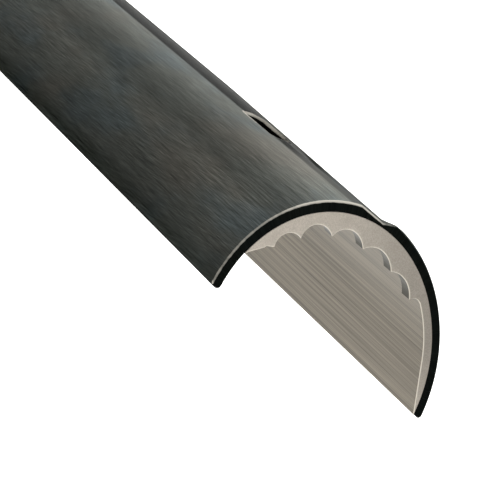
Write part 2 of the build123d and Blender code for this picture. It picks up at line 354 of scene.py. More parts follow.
def bareSteelBrushed():
    # lines along the tool inside, grit on the end by face, darker by painted shade on the comb's flank and
    # across its face, bright by a painted highlight along the comb's edge
    v = bareSteel
    material, tree, shader = newMaterial("bareSteelBrushed", {"Metallic": 1.0})
    flat = addNode(tree, "UVMap", uv_map="skinMap")
    body = addNode(tree, "TexCoord", output="Object")
    face = addNode(tree, "Attribute", output="Fac", attribute_name="face")
    wear = addNode(tree, "Attribute", output="Fac", attribute_name="wear")
    paintedShadeFlank = addNode(tree, "Attribute", output="Fac", attribute_name="paintedShadeFlank")
    lines = grainPattern(tree, flat, (*v["lines"], 1), 5, 0.7)
    streaks = grainPattern(tree, flat, (*v["streaks"], 1), 3, 0.5, (4, 1, 0))
    grit = grainPattern(tree, body, (v["grit"] * mm,) * 3, 3, 0.7)
    patch = grainPattern(tree, body, (v["patch"] * mm,) * 3, 3, 0.5)
    # brushed inside
    thin = addNode(tree, "Math", [lines, 0.8], operation="MULTIPLY")
    broad = addNode(tree, "Math", [streaks, 0.2], operation="MULTIPLY")
    fine = addNode(tree, "Math", [thin, broad], operation="ADD")
    lit = addNode(tree, "MapRange", [fine, 0.36, 0.64, 0, 1])
    brushed = layOver(tree, v["dark"], [(lit, v["light"])])
    # blasted on the end, with a painted highlight along the comb's edge
    sandy = addNode(tree, "MapRange", [grit, 0.38, 0.62, 0, 0.6])
    patchy = addNode(tree, "MapRange", [patch, 0.4, 0.7, 0, 0.3], **eased)
    blasted = layOver(tree, v["blasted"], [(sandy, v["grain"]), (patchy, v["grain"])])
    # on the liner the stored wear is a painted highlight along the comb's edge
    worn = addNode(tree, "MapRange", [wear, 0.3, 0.9, 0, 0.9], **eased)
    # painted shade over the flank and across the face, and a painted highlight along the comb's edge
    tone = layOver(tree, brushed, [(face, blasted), (paintedShadeFlank, v["shadow"]), (worn, v["bright"])])
    dull = addNode(tree, "Math", [face, v["blastedRoughness"]], operation="MULTIPLY")
    silky = addNode(tree, "MapRange", [fine, 0.3, 0.7, *v["roughness"]])
    rough = addNode(tree, "Math", [silky, dull], operation="MAXIMUM")
    bump = addNode(tree, "Bump", {"Height": fine, "Strength": 0.4, "Distance": v["lineDepth"] * mm})
    bump = addNode(tree, "Bump", {"Height": grit, "Strength": face, "Distance": v["gritDepth"] * mm,
                                  "Normal": bump})
    joinSurface(tree, shader, tone, rough, bump)
    return material


def turnedMetal(name, dark, light, bare, pitch, roughness):
    # metal cut or rubbed in rings round the tool: fine rings, softer cloudy stains, pale rubbed spots
    material, tree, shader = newMaterial(name, {"Metallic": 1.0})
    body = addNode(tree, "TexCoord", output="Object")
    rings = grainPattern(tree, body, (pitch * mm, 40 * pitch * mm, 40 * pitch * mm), 5, 0.7)
    cloud = grainPattern(tree, body, (4 * mm,) * 3, 4, 0.55)
    specks = grainPattern(tree, body, (0.5 * mm,) * 3, 4, 0.75, (3, 3, 3))
    lit = addNode(tree, "MapRange", [rings, 0.3, 0.7, 0, 1])
    stained = addNode(tree, "MapRange", [cloud, 0.35, 0.7, 0, 0.5], **eased)
    rubbed = addNode(tree, "MapRange", [specks, 0.66, 0.74, 0, 0.8], **eased)
    tone = layOver(tree, dark, [(lit, light), (stained, dark), (rubbed, bare)])
    soft = addNode(tree, "Math", [cloud, 0.6], operation="MULTIPLY")
    dull = addNode(tree, "Math", [rings, soft], operation="ADD")
    rough = addNode(tree, "MapRange", [dull, 0.5, 1.1, *roughness])
    bump = addNode(tree, "Bump", {"Height": rings, "Strength": 0.35, "Distance": 0.02 * mm})
    joinSurface(tree, shader, tone, rough, bump)
    return material


# American walnut, sanded and oiled: straight dark grain with open pores, polished where it is held
walnut = {
    "heart": "#4E3220", "dark": "#2B1A0D", "light": "#6E4A30", "pore": "#1A100A",
    "rings": 2.4, "grain": (38.0, 0.6, 0.6), "pores": (5.5, 0.16, 0.16), "bend": (70.0, 14.0, 14.0),    # mm
    "pith": (0, 9.0, 4.0), "taper": 0.12, "wander": 3.4, "roughness": (0.34, 0.6), "poreDepth": 0.05,
}


def walnutOiled():
    # rings by distance from the pith, dark fibres and pores over them, paler where rubbed
    v = walnut
    material, tree, shader = newMaterial("walnutOiled", {"IOR": 1.47, "Coat Weight": 0.12,
                                                         "Coat Roughness": 0.3})
    body = addNode(tree, "TexCoord", output="Object")
    bend = grainPattern(tree, body, tuple(s * mm for s in v["bend"]), 3, 0.5)
    # year rings are tubes round a pith that lies off the handle's middle
    centred = addNode(tree, "Mapping", {"Vector": body, "Location": tuple(s * mm for s in v["pith"]),
                                        "Scale": (v["taper"], 1, 1)})
    apart = addNode(tree, "SeparateXYZ", [centred]).node
    square = [addNode(tree, "Math", [apart.outputs[i], 2.0], operation="POWER") for i in (1, 2)]
    distance = addNode(tree, "Math", square, operation="ADD")
    distance = addNode(tree, "Math", [distance], operation="SQRT")
    count = addNode(tree, "Math", [distance, 1000 / v["rings"]], operation="MULTIPLY")
    wander = addNode(tree, "Math", [bend, v["wander"]], operation="MULTIPLY")
    wave = addNode(tree, "Math", [count, wander], operation="ADD")
    wave = addNode(tree, "Math", [wave], operation="FRACT")
    ring = addNode(tree, "MapRange", [wave, 0, 1, 0, 1], **eased)
    fibre = grainPattern(tree, body, tuple(s * mm for s in v["grain"]), 6, 0.7)
    pores = grainPattern(tree, body, tuple(s * mm for s in v["pores"]), 3, 0.6, (2, 5, 1))
    pores = addNode(tree, "MapRange", [pores, 0.58, 0.68, 0, 1], **eased)
    wear = addNode(tree, "Attribute", output="Fac", attribute_name="wear")
    streaked = addNode(tree, "MapRange", [fibre, 0.4, 0.68, 0, 0.85], **eased)
    pitted = addNode(tree, "Math", [pores, 0.75], operation="MULTIPLY")
    rubbed = addNode(tree, "Math", [wear, 0.45], operation="MULTIPLY")
    tone = layOver(tree, v["light"], [(ring, v["heart"]), (streaked, v["dark"]), (pitted, v["pore"]),
                                      (rubbed, v["light"])])
    rough = addNode(tree, "MapRange", [fibre, 0.3, 0.7, *v["roughness"]])
    raised = addNode(tree, "Math", [fibre, 0.3], operation="MULTIPLY")
    height = addNode(tree, "Math", [raised, pores], operation="SUBTRACT")
    bump = addNode(tree, "Bump", {"Height": height, "Strength": 0.5, "Distance": v["poreDepth"] * mm})
    joinSurface(tree, shader, tone, rough, bump)
    return material


# Vulcanised fibre, punched from sheet: oxblood red, dull, with short flecks
redSheet = {
    "dark": "#3E1712", "light": "#7A3327", "stain": "#2A0F0C", "fleck": (0.12, 0.6, 0.6), "cloud": 3.0,  # mm
}


def fibrePressed():
    # short flecks from dark to light, with soft stains over them
    v = redSheet
    material, tree, shader = newMaterial("vulcanisedFibre", {"IOR": 1.5})
    body = addNode(tree, "TexCoord", output="Object")
    fleck = grainPattern(tree, body, tuple(s * mm for s in v["fleck"]), 4, 0.7)
    cloud = grainPattern(tree, body, (v["cloud"] * mm,) * 3, 3, 0.5)
    flecked = addNode(tree, "MapRange", [fleck, 0.35, 0.68, 0, 1])
    stained = addNode(tree, "MapRange", [cloud, 0.4, 0.7, 0, 0.5], **eased)
    tone = layOver(tree, v["dark"], [(flecked, v["light"]), (stained, v["stain"])])
    rough = addNode(tree, "MapRange", [fleck, 0.3, 0.7, 0.55, 0.8])
    bump = addNode(tree, "Bump", {"Height": fleck, "Strength": 0.5, "Distance": 0.03 * mm})
    joinSurface(tree, shader, tone, rough, bump)
    return material


skinMetal = blackenedSteelBrushed()
linerMetal = bareSteelBrushed()
# the same blackened steel, turned in a lathe and rubbed pale on its high spots
turnedBlack = turnedMetal("blackenedSteelTurned", "#262826", "#5C5D58", "#A8A295", 0.16, (0.3, 0.5))
# bare steel pins and rivets, filed and polished by handling
polishedSteel = turnedMetal("bareSteelPolished", "#7C786F", "#B9B4A8", "#DAD5CA", 0.12, (0.22, 0.42))
# aluminium bar, milled flat and turned: light grey with soft tool marks
milledAluminium = turnedMetal("aluminiumTurned", "#8F9093", "#C3C4C6", "#DEDFE0", 0.3, (0.3, 0.48))
# zinc plated steel rod: cool pale grey with cloudy spangle
zincSteel = turnedMetal("zincPlatedSteel", "#84888C", "#BCC0C4", "#DCE0E2", 0.5, (0.28, 0.5))
walnutWood = walnutOiled()
redFibre = fibrePressed()
print("materials ready")


# Outer shell: half-round sheet with a groove, a relief, a rubbed track and a slot at its crown; mm and degrees
shell = {
    "radius": 12.5, "wall": 0.9, "rake": 17.0, "rimRound": 0.35, "rimInside": 0.5, "mouthWorn": 0.22,
    "grooveLeft": -13.0, "grooveFloor": -0.5, "grooveRight": 6.1, "grooveDepth": 0.55,
    "grooveLength": 18.0, "grooveRunout": 8.0,
    "reliefAngle": 5.0, "reliefDepth": 0.47, "reliefRun": 40.0, "lip": 1.3,
    "trackLeft": -17.5, "trackRight": 9.0, "trackDepth": 0.12,
}
slot = {"setback": 24.4, "angle": -13.0, "length": 7.8, "width": 2.1, "worn": 0.26}
rivet = {
    "angle": 45.0, "setback": 6.5, "shank": 1.25, "head": 2.3, "height": 0.9, "taper": 20.0, "round": 0.45,
}
rake = np.tan(np.radians(shell["rake"]))
bladeLength = mouthX - ferruleRear


def chordRadius(angle, angleA, radiusA, angleB, radiusB):
    # distance from the axis to the straight line through two points of a section, at an angle
    a, b, t = np.radians(angleA), np.radians(angleB), np.radians(angle)
    return radiusA * radiusB * np.sin(b - a) / (radiusA * np.sin(t - a) + radiusB * np.sin(b - t))


def skinRadius(angle, x):
    # the half-round's radius, less the track behind the slot, the groove before it and the relief beside it
    v = shell
    radius = np.full(np.broadcast(angle, x).shape, v["radius"])
    behind = mouthX - x
    inTrack = (angle > v["trackLeft"]) & (angle < v["trackRight"])
    pastSlot = smoothStep(slot["setback"] - 0.15, slot["setback"] + 0.15, behind)
    radius = radius - v["trackDepth"] * inTrack * pastSlot
    floor = v["radius"] - v["grooveDepth"]
    left = chordRadius(angle, v["grooveLeft"], v["radius"], v["grooveFloor"], floor)
    right = chordRadius(angle, v["grooveFloor"], floor, v["grooveRight"], v["radius"])
    groove = np.where(angle < v["grooveFloor"], left, right)
    inGroove = (angle > v["grooveLeft"]) & (angle < v["grooveRight"])
    fade = np.clip((behind - v["grooveLength"]) / v["grooveRunout"], 0, 1)
    groove = v["radius"] - (v["radius"] - groove) * (1 - fade)
    radius = np.where(inGroove, np.minimum(radius, groove), radius)
    start = v["radius"] * rake
    falling = np.clip((behind - start) / v["lip"], 0, 1)
    rising = np.clip((behind - start - v["lip"]) / v["reliefRun"], 0, 1)
    plane = v["radius"] - v["reliefDepth"] * (falling - rising)
    relief = plane / np.cos(np.radians(np.clip(angle - v["reliefAngle"], -60, 60)))
    return np.minimum(radius, relief)


def rakedStation(back, radius, angles):
    # the raked mouth's plane, carried back along the tool and made square to it at the blade's rear
    fade = 1 - back / bladeLength
    return mouthX - back - rake * radius * np.cos(np.radians(angles))[None, :] * fade


def shellColumns():
    # angles round the channel, close together at the crown, with the rims' rounding at both ends
    turn = np.radians(np.linspace(90, 0, 6))
    inset = shell["rimRound"] * (1 - np.cos(turn))
    back = np.degrees(shell["rimRound"] * (1 - np.sin(turn)) / (shell["radius"] - shell["wall"] / 2))
    crisp = []
    for edge in (shell["trackLeft"], shell["trackRight"]):
        crisp += [edge - 0.06, edge + 0.06]
    crisp += [shell["grooveLeft"], shell["grooveFloor"], shell["grooveRight"]]
    middle = np.concatenate([np.arange(-86.5, -20, 1.5), np.arange(-20, 12, 0.5), np.arange(12, 87, 1.5)])
    middle = np.array([a for a in middle if min(abs(a - c) for c in crisp) > 0.16] + crisp)
    angles = np.concatenate([-90 + back, np.sort(middle), 90 - back[::-1]])
    insets = np.concatenate([inset, np.zeros(len(middle)), inset[::-1]])
    return angles, insets


def makeShell():
    # rows run to the mouth along the skin and back inside, each on a raked plane, rounded at the mouth's edge
    angles, insets = shellColumns()
    v = shell
    worn = v["mouthWorn"]
    a = np.radians(np.linspace(90, 0, 6))
    edge, drop = worn * (1 - np.sin(a)), worn * (1 - np.cos(a))
    # rows lie closer together towards the mouth, where the slot, the groove and the lip are
    behind = np.concatenate([np.linspace(bladeLength, 31, 38), np.arange(30, 7, -0.3),
                             np.arange(7, worn, -0.16), edge[::-1][:-1], [0.0]])
    drops = np.concatenate([np.zeros(len(behind) - 6), drop[::-1]])
    behind[-6:] = edge[::-1]
    back = behind[:, None]
    outerX = rakedStation(back, v["radius"], angles)
    outerR = skinRadius(angles[None, :], outerX) - insets[None, :] - drops[:, None]
    outerX = rakedStation(back, outerR, angles)
    innerBack = behind[::-1].copy()
    innerBack[:6] = edge * 0.3
    innerDrop = np.zeros(len(behind))
    innerDrop[:6] = drop * 0.3
    innerR = v["radius"] - v["wall"] + insets[None, :] * v["rimInside"] / v["rimRound"] + innerDrop[:, None]
    innerR = np.broadcast_to(innerR, outerR.shape)
    innerX = rakedStation(innerBack[:, None], innerR, angles)
    faceR = (outerR[-1:] + innerR[:1]) / 2
    faceX = rakedStation(np.zeros((1, 1)), faceR, angles)
    return channelPiece("shellSkin", angles, outerX, outerR, faceX, faceR, innerX, innerR)


def rivetHoles(depthIn):
    # a rod square to the skin on each side of the crown
    cutters = []
    for side in (-1, 1):
        out = np.array((0, np.sin(np.radians(side * rivet["angle"])), np.cos(np.radians(rivet["angle"]))))
        base = np.array((ferruleFront + rivet["setback"], 0, axisZ)) + out * (shell["radius"] - depthIn)
        cutters.append(rodCutter("rivetHole", base, out, [rivet["shank"] + 0.02] * 2, [0, depthIn + 1]))
    return cutters


shellSkin = makeShell()
cutPiece(shellSkin, [obroundCutter("slotCut", slot, 3.2)] + rivetHoles(3.2))
storeSkinMap(shellSkin)
angle, radius, behindMouth, station = channelPlaces(shellSkin)
skinDrop = skinRadius(angle, station) - radius

# patina and painted shade: painted shade towards the rims and painted light towards the crown, over a
# blackening that is thickest at the rims and inside and rubbed thin towards the crown
patinaAndPaintedShadeKnots = {
    # rubbed: the skin's tone by angle, patina together with painted shade and painted light
    "rubbed": [(-90, 0.065), (-86, 0.07), (-80, 0.13), (-70, 0.215), (-58, 0.285), (-48, 0.205), (-38, 0.265),
               (-28, 0.385), (-20, 0.43), (-18.4, 0.43), (-17, 0.045), (-6, 0.045), (6, 0.045), (14, 0.3),
               (40, 0.2), (70, 0.14), (90, 0.06)],
    "bareMouth": [(-90, 0.6), (-84, 0.6), (-50, 0.68), (-20, 1), (-8, 0.9), (0, 0.5), (10, 0.1), (90, 0.1)],
}
patinaAndPaintedShade = np.interp(angle, *zip(*patinaAndPaintedShadeKnots["rubbed"]))
# painted light: the skin is lighter within 22 mm of the mouth
patinaAndPaintedShade = patinaAndPaintedShade * (1 + 0.25 * smoothStep(22, 4, behindMouth))
# painted light: the band over the crown from -18 to 7 degrees is lighter within 16 mm of the mouth
onTrack = smoothStep(-18.0, -17.2, angle) * smoothStep(7, 5, angle)
patinaAndPaintedShade = patinaAndPaintedShade + 0.12 * onTrack * smoothStep(16, 8, behindMouth)
patinaAndPaintedShade = np.where(skinDrop > 0.14, 0.01, patinaAndPaintedShade)
# wear: bare along the mouth's outer edge, the rims and round the slot
mouthEdge = smoothStep(0.26, 0.13, behindMouth) * smoothStep(0.2, 0.1, skinDrop)
mouthEdge = mouthEdge * np.interp(angle, *zip(*patinaAndPaintedShadeKnots["bareMouth"]))
slotX = mouthX - slot["setback"]
slotAlong = np.maximum(np.abs(station - slotX) - (slot["length"] - slot["width"]) / 2, 0)
slotAcross = np.radians(angle - slot["angle"]) * shell["radius"]
slotReach = np.hypot(slotAlong, slotAcross) - slot["width"] / 2
slotRear = smoothStep(slotX + 2, slotX - 3, station)
slotEdge = smoothStep(0.34, 0.1, np.abs(slotReach - 0.08)) * smoothStep(0.3, 0.12, skinDrop)
slotEdge = slotEdge * (0.45 + 0.55 * slotRear)
storeValue(shellSkin, "patinaAndPaintedShade", np.clip(patinaAndPaintedShade, 0, 1))
storeValue(shellSkin, "wear", np.clip(np.maximum(mouthEdge, slotEdge), 0, 1))
dress(shellSkin, skinMetal)
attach(shellSkin, "root")
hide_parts("outer_shell")
print("outer shell", len(radius), "points")


# Liner: a second half-round inside the shell, its end cut into a comb; tips and roots are angle and height
liner = {
    "wall": 0.9, "left": -72.0, "right": 90.0, "leftBevel": 1.82, "rightBevel": 4.45,
    "combDepth": 1.6, "combStart": -62.0, "combEnd": 41.5, "edge": 0.09, "root": 0.05,
    "tips": [(-58.6, 0.48), (-43.7, 0.9), (-25.5, 1.12), (-4.9, 1.46), (17.4, 1.31), (36.2, 0.92)],
    "roots": [(-49.6, 0.05), (-34.4, 0.08), (-17.6, 0.41), (3.4, 0.74), (23.4, 0.72), (39.6, 0.06)],
}
linerOuter = shell["radius"] - shell["wall"]
boreRadius = linerOuter - liner["wall"]


def flatPoint(angle, radius):
    # point of a section from its angle and its distance from the axis
    return np.array((radius * np.sin(np.radians(angle)), radius * np.cos(np.radians(angle))))


def arcThrough(first, middle, last, steps):
    # even steps along the circle through three points of a section
    a, b, c = np.array(first), np.array(middle), np.array(last)
    rows = np.array([b - a, c - a]) * 2
    centre = np.linalg.solve(rows, np.array([b @ b - a @ a, c @ c - a @ a]))
    turn = np.unwrap([np.arctan2(*(p - centre)[::-1]) for p in (a, b, c)])
    t = np.linspace(turn[0], turn[2], steps)
    return centre + np.hypot(*(a - centre)) * np.stack([np.cos(t), np.sin(t)], -1)


def combProfile():
    # angles round the channel, the comb's edge and the bore's edge at each, from rim to rim
    v = liner
    left = v["left"] + np.degrees(v["leftBevel"] / linerOuter)
    right = v["right"] - np.degrees(v["rightBevel"] / linerOuter)
    tips = [flatPoint(a, boreRadius - h) for a, h in v["tips"]]
    roots = [flatPoint(a, boreRadius - h) for a, h in v["roots"]]
    ends = tips[1:] + [flatPoint(v["combEnd"], boreRadius)]
    arcs = [arcThrough(t, r, e, 26)[:-1] for t, r, e in zip(tips, roots, ends)]
    start = np.linspace(flatPoint(v["combStart"], boreRadius), tips[0], 6)[:-1]
    edge = np.concatenate([start] + arcs)
    angles = np.degrees(np.arctan2(edge[:, 0], edge[:, 1]))
    radii = np.hypot(edge[:, 0], edge[:, 1])
    before = np.concatenate([np.linspace(v["left"] + 0.2, left, 7), [v["combStart"] - 0.5]])
    after = np.concatenate([np.arange(v["combEnd"], right, 1.3), np.linspace(right, v["right"] - 0.25, 16)])
    allAngles = np.concatenate([before, angles, after])
    comb = np.concatenate([np.full(len(before), boreRadius), radii, np.full(len(after), boreRadius)])
    ahead = np.concatenate([[True], allAngles[1:] > np.maximum.accumulate(allAngles)[:-1] + 0.03])
    order, comb = allAngles[ahead], comb[ahead]
    bore = np.full(len(order), boreRadius)
    leftChord = chordRadius(order, v["left"], linerOuter, left, boreRadius)
    rightChord = chordRadius(order, right, boreRadius, v["right"], linerOuter)
    bore = np.where(order < left, leftChord, np.where(order > right, rightChord, bore))
    bore = np.minimum(bore, linerOuter - 0.02)
    inComb = (order > v["combStart"]) & (order < v["combEnd"])
    return order, np.where(inComb, np.minimum(comb, bore), bore), bore


def makeLiner():
    # the inside follows the comb for its depth behind the mouth, then the plain bore; the outside is round
    angles, comb, bore = combProfile()
    v = liner
    edge = v["edge"]
    room = np.clip((linerOuter - comb) / 3, 0, edge)
    innerBack = np.concatenate([[0.0, edge * 0.3, edge],
                                np.linspace(edge + 0.1, v["combDepth"] - v["root"], 5),
                                [v["combDepth"], v["combDepth"] + v["root"]],
                                np.arange(2.2, 30, 1.2), np.linspace(31, bladeLength, 30)])
    blend = smoothStep(v["combDepth"] - v["root"], v["combDepth"] + v["root"] / 2, innerBack)[:, None]
    innerR = comb[None, :] * (1 - blend) + bore[None, :] * blend
    lift = np.interp(innerBack, [0, edge * 0.3, edge], [1, 0.3, 0])[:, None]
    innerR = innerR + lift * room[None, :]
    outerBack = innerBack[::-1]
    outerR = linerOuter - np.interp(outerBack, [0, 0.04], [0.04, 0])[:, None] + 0 * innerR
    outerR = np.maximum(outerR, innerR[::-1] + 0.004)
    faceR = innerR[:1] + (outerR[-1:] - innerR[:1]) * np.array([0.8, 0.5, 0.2])[:, None]
    return channelPiece("combLiner", angles, rakedStation(outerBack[:, None], outerR, angles), outerR,
                        rakedStation(np.zeros((3, 1)), faceR, angles), faceR,
                        rakedStation(innerBack[:, None], innerR, angles), innerR)


combLiner = makeLiner()
cutPiece(combLiner, [obroundCutter("slotCut", slot, 4.5)] + rivetHoles(4.0))
storeSkinMap(combLiner)
angle, radius, behindMouth = channelPlaces(combLiner)[:3]
onFace = smoothStep(0.1, 0.02, behindMouth)
profileAngles, profileComb = combProfile()[:2]
above = radius - np.interp(angle, profileAngles, profileComb)
# painted highlight: a bright line along the comb's edge
combEdgeHighlight = smoothStep(0.13, 0.04, above) * smoothStep(0.14, 0.03, behindMouth)
# painted shade on the comb's thickness between its face and the bore, where the notches' walls lie in shade
depth = liner["combDepth"]
paintedShadeFlank = smoothStep(0.06, 0.14, behindMouth) * smoothStep(depth + 0.06, depth - 0.02, behindMouth)
paintedShadeFlank = paintedShadeFlank * smoothStep(0.03, 0.0, above) * smoothStep(boreRadius - 0.03, boreRadius - 0.08, radius)
# dull: painted shade on the blasted face, darker from its left end up to 60 degrees on the right, then
# clearing again
dull = np.interp(angle, [-70, -40, -18, 3, 23, 60, 75, 90], [0, 0.06, 0.09, 0.25, 0.35, 0.46, 0.3, 0.1])
storeValue(combLiner, "face", onFace)
# the liner's wear attribute carries only the painted edge highlight
storeValue(combLiner, "wear", combEdgeHighlight * (above < 0.4))
storeValue(combLiner, "paintedShadeFlank", np.maximum(paintedShadeFlank, dull * onFace))
dress(combLiner, linerMetal)
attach(combLiner, "root")
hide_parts("serrated_liner")
print("serrated liner", len(radius), "points")


def rivetSolid(side):
    # domed head seated on the round skin, with its shank going down into the block
    v = rivet
    turn = np.radians(np.linspace(0, 360, 56, endpoint=False))
    top = v["head"] - v["height"] * np.tan(np.radians(v["taper"]))
    a = np.radians(np.linspace(0, 90, 7))
    reach = np.concatenate([[v["shank"], v["shank"], v["head"] - 0.06, v["head"], top + 0.14],
                            top - v["round"] * (1 - np.cos(a)) + 0.04, [top * 0.5, top * 0.24, 0.02]])
    lift = np.concatenate([[-4.6, -0.3, 0.0, 0.05, 0.4],
                           v["height"] - v["round"] + v["round"] * np.sin(a) - 0.08,
                           [v["height"] - 0.03, v["height"] - 0.01, v["height"]]])
    across = reach[:, None] * np.cos(turn)[None, :]
    along = reach[:, None] * np.sin(turn)[None, :]
    saddle = np.sqrt(shell["radius"] ** 2 - across ** 2) - shell["radius"]
    low = np.clip(1 - np.maximum(lift, 0) / 0.5, 0, 1)[:, None]
    height = shell["radius"] + lift[:, None] + saddle * low * (lift[:, None] > -1)
    tilt = np.radians(side * v["angle"])
    points = np.stack([ferruleFront + v["setback"] + along, height * np.sin(tilt) + across * np.cos(tilt),
                       axisZ + height * np.cos(tilt) - across * np.sin(tilt)], -1)
    return points.reshape(-1, 3), tubeFaces(len(reach), len(turn))


def joinSolids(name, solids, sharpAngle=32):
    # several closed shapes in one piece
    allPoints, allFaces, start = [], [], 0
    for points, faces in solids:
        allPoints.append(points)
        allFaces += [[start + i for i in face] for face in faces]
        start += len(points)
    return makePiece(name, np.concatenate(allPoints), allFaces, sharpAngle)


rivetHeads = joinSolids("rivetHeads", [rivetSolid(-1), rivetSolid(1)])
dress(rivetHeads, polishedSteel)
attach(rivetHeads, "root")
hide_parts("blade_rivets")

# Pins through the ferrule's sides into the block, and the turned ferrule that they hold
pin = {"radius": 1.0, "drop": 3.5, "setback": 7.0, "depth": 4.0, "proud": 0.05}
ferrule = {
    "wall": 1.5, "chamfer": 0.5, "groove": 0.4, "rings": (2.0, 3.6),
}
ferruleRadius = shell["radius"] + ferrule["wall"]


def pinSolid(side):
    # short rod through the ferrule's side, its end peened to a low dome
    turn = np.radians(np.linspace(0, 360, 40, endpoint=False))
    reach = pin["radius"] * np.array([0.92, 1, 1, 0.97, 0.86, 0.6, 0.3, 0.02])
    surface = np.sqrt(ferruleRadius ** 2 - pin["drop"] ** 2)
    start = shell["radius"] - pin["depth"]
    lift = np.array([start, start + 0.1, surface - 0.14, surface - 0.05, surface,
                     surface + 0.6 * pin["proud"], surface + 0.9 * pin["proud"], surface + pin["proud"]])
    x = ferruleRear + pin["setback"] + reach[:, None] * np.cos(turn)[None, :]
    z = axisZ - pin["drop"] + reach[:, None] * np.sin(turn)[None, :]
    y = side * (lift[:, None] + 0 * x)
    return np.stack([x, y, z], -1).reshape(-1, 3), tubeFaces(len(reach), len(turn))


pinEnds = joinSolids("pinEnds", [pinSolid(-1), pinSolid(1)])
dress(pinEnds, polishedSteel)
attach(pinEnds, "root")
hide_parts("ferrule_pins")


def ferruleProfile():
    # outer face with rounded chamfers and two turned rings, then the plain bore
    v = ferrule
    x = np.concatenate([[ferruleRear, ferruleRear + 0.06],
                        np.linspace(ferruleRear + 0.14, ferruleRear + v["chamfer"], 5),
                        np.arange(ferruleRear + 0.7, ferruleFront - 0.6, 0.1),
                        np.linspace(ferruleFront - v["chamfer"], ferruleFront - 0.14, 5),
                        [ferruleFront - 0.06, ferruleFront]])
    fromEnd = np.minimum(x - ferruleRear, ferruleFront - x)
    r = ferruleRadius - np.clip(v["chamfer"] - fromEnd, 0, None) * 0.96
    for ring in v["rings"]:
        gap = np.abs(x - ferruleRear - ring)
        inside = gap < v["groove"]
        r = r - np.where(inside, np.sqrt(np.clip(v["groove"] ** 2 - gap ** 2, 0, None)), 0)
    innerX = [ferruleFront, ferruleFront - 0.15, ferruleRear + 0.15, ferruleRear]
    innerR = [shell["radius"] + 0.15, shell["radius"], shell["radius"], shell["radius"] + 0.15]
    return np.concatenate([x, innerX]), np.concatenate([r, innerR])


ferruleRing = turnedPiece("ferruleRing", *ferruleProfile(), steps=192)
pinCuts = []
for side in (-1, 1):
    base = (ferruleRear + pin["setback"], side * (shell["radius"] - 2), axisZ - pin["drop"])
    surface = np.sqrt(ferruleRadius ** 2 - pin["drop"] ** 2) - shell["radius"] + 2
    pinCuts.append(rodCutter("pinHole", base, (0, side, 0),
                             [pin["radius"] + 0.05] * 2 + [pin["radius"] + 0.25],
                             [0, surface - 0.1, surface + 0.2]))
cutPiece(ferruleRing, pinCuts)
dress(ferruleRing, turnedBlack)
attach(ferruleRing, "root")
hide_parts("ferrule")
print("ferrule, rivets and pins")


# Handle: eight flats with rounded corners, a cone in front and a long quarter curve behind
handle = {
    "flats": 28.0, "sides": 8, "corner": 2.6, "frontCone": 4.0, "rearTurning": 14.0, "rearRadius": 11.5,
    "boreRadius": 3.2, "dent": 0.1,
}


def handleProfile(angle):
    # eight flats whose corners are circles of the corner's radius
    step = 360 / handle["sides"]
    off = np.radians((angle + step / 2) % step - step / 2)
    flat = handle["flats"] / 2
    inner = flat - handle["corner"]
    reach = flat / np.cos(off)
    corner = inner / np.cos(np.radians(step / 2))
    toCorner = np.radians(step / 2) - np.abs(off)
    limit = np.arctan2(inner * np.tan(np.radians(step / 2)), flat)
    drop = handle["corner"] ** 2 - (corner * np.sin(toCorner)) ** 2
    rounded = corner * np.cos(toCorner) + np.sqrt(np.clip(drop, 0, None))
    return np.where(np.abs(off) > limit, rounded, reach)


def turningRadius(x):
    # cone at the front, and at the rear a long quarter curve down to the washer
    v = handle
    reach = handle["flats"] / 2 / np.cos(np.radians(180 / v["sides"]))
    front = ferruleRadius + (ferruleRear - x) / v["frontCone"] * (reach - ferruleRadius)
    start = handleRear + v["rearTurning"]
    rise, run = reach - v["rearRadius"], v["rearTurning"]
    big = (run ** 2 + rise ** 2) / (2 * rise)
    rear = reach - big + np.sqrt(np.clip(big ** 2 - np.clip(start - x, 0, None) ** 2, 0, None))
    return np.minimum(front, rear)


def makeHandle():
    # the smaller of the flats and the turning, less shallow dents, with the rod's bore through it
    v = handle
    angle = np.linspace(0, 360, 256, endpoint=False)
    x = np.concatenate([[handleRear, handleRear + 0.04, handleRear + 0.15],
                        np.linspace(handleRear + 0.4, ferruleRear - 0.4, 150),
                        [ferruleRear - 0.15, ferruleRear - 0.04, ferruleRear]])
    endEase = np.array([0.22, 0.1, 0.02] + [0] * 150 + [0.02, 0.1, 0.22])
    sides = handleProfile(angle)[None, :]
    limit = turningRadius(x)[:, None]
    soft = 0.1
    radius = np.minimum(sides, limit) - soft * np.exp(-np.abs(sides - limit) / 0.3)
    turn = np.radians(angle)[None, :]
    dent = (np.sin(3 * turn + 0.13 * x[:, None]) * np.sin(0.31 * x[:, None] + 2 * turn)
            + 0.6 * np.sin(7 * turn + 0.7 * x[:, None]) * np.sin(1.1 * x[:, None]))
    dent = v["dent"] * np.clip(dent, 0, None) ** 2 / 2
    lower = np.abs(angle - 180)[None, :] < 21
    radius = radius - np.where(lower, 0, dent) - endEase[:, None]
    boreX = np.array([ferruleRear, ferruleRear - 0.3, handleRear + 0.3, handleRear])
    boreR = np.broadcast_to(v["boreRadius"] + np.array([0.3, 0, 0, 0.3])[:, None], (4, len(angle)))
    allX = np.concatenate([x, boreX])[:, None]
    allR = np.concatenate([radius, boreR])
    points = place(allX, angle[None, :], allR)
    return makePiece("handleGrip", points, gridFaces(len(allX), len(angle), True, True), 24)


handleGrip = makeHandle()
radius = channelPlaces(handleGrip)[1]
cornerWear = smoothStep(handle["flats"] / 2 + 0.35, handle["flats"] / 2 + 0.75, radius)
storeValue(handleGrip, "wear", cornerWear)
dress(handleGrip, walnutWood)
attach(handleGrip, "root")
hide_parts("handle")
print("handle")


# Washer and end cap, both on the handle's axis
washer = {"boreRadius": 3.2, "round": 0.22}


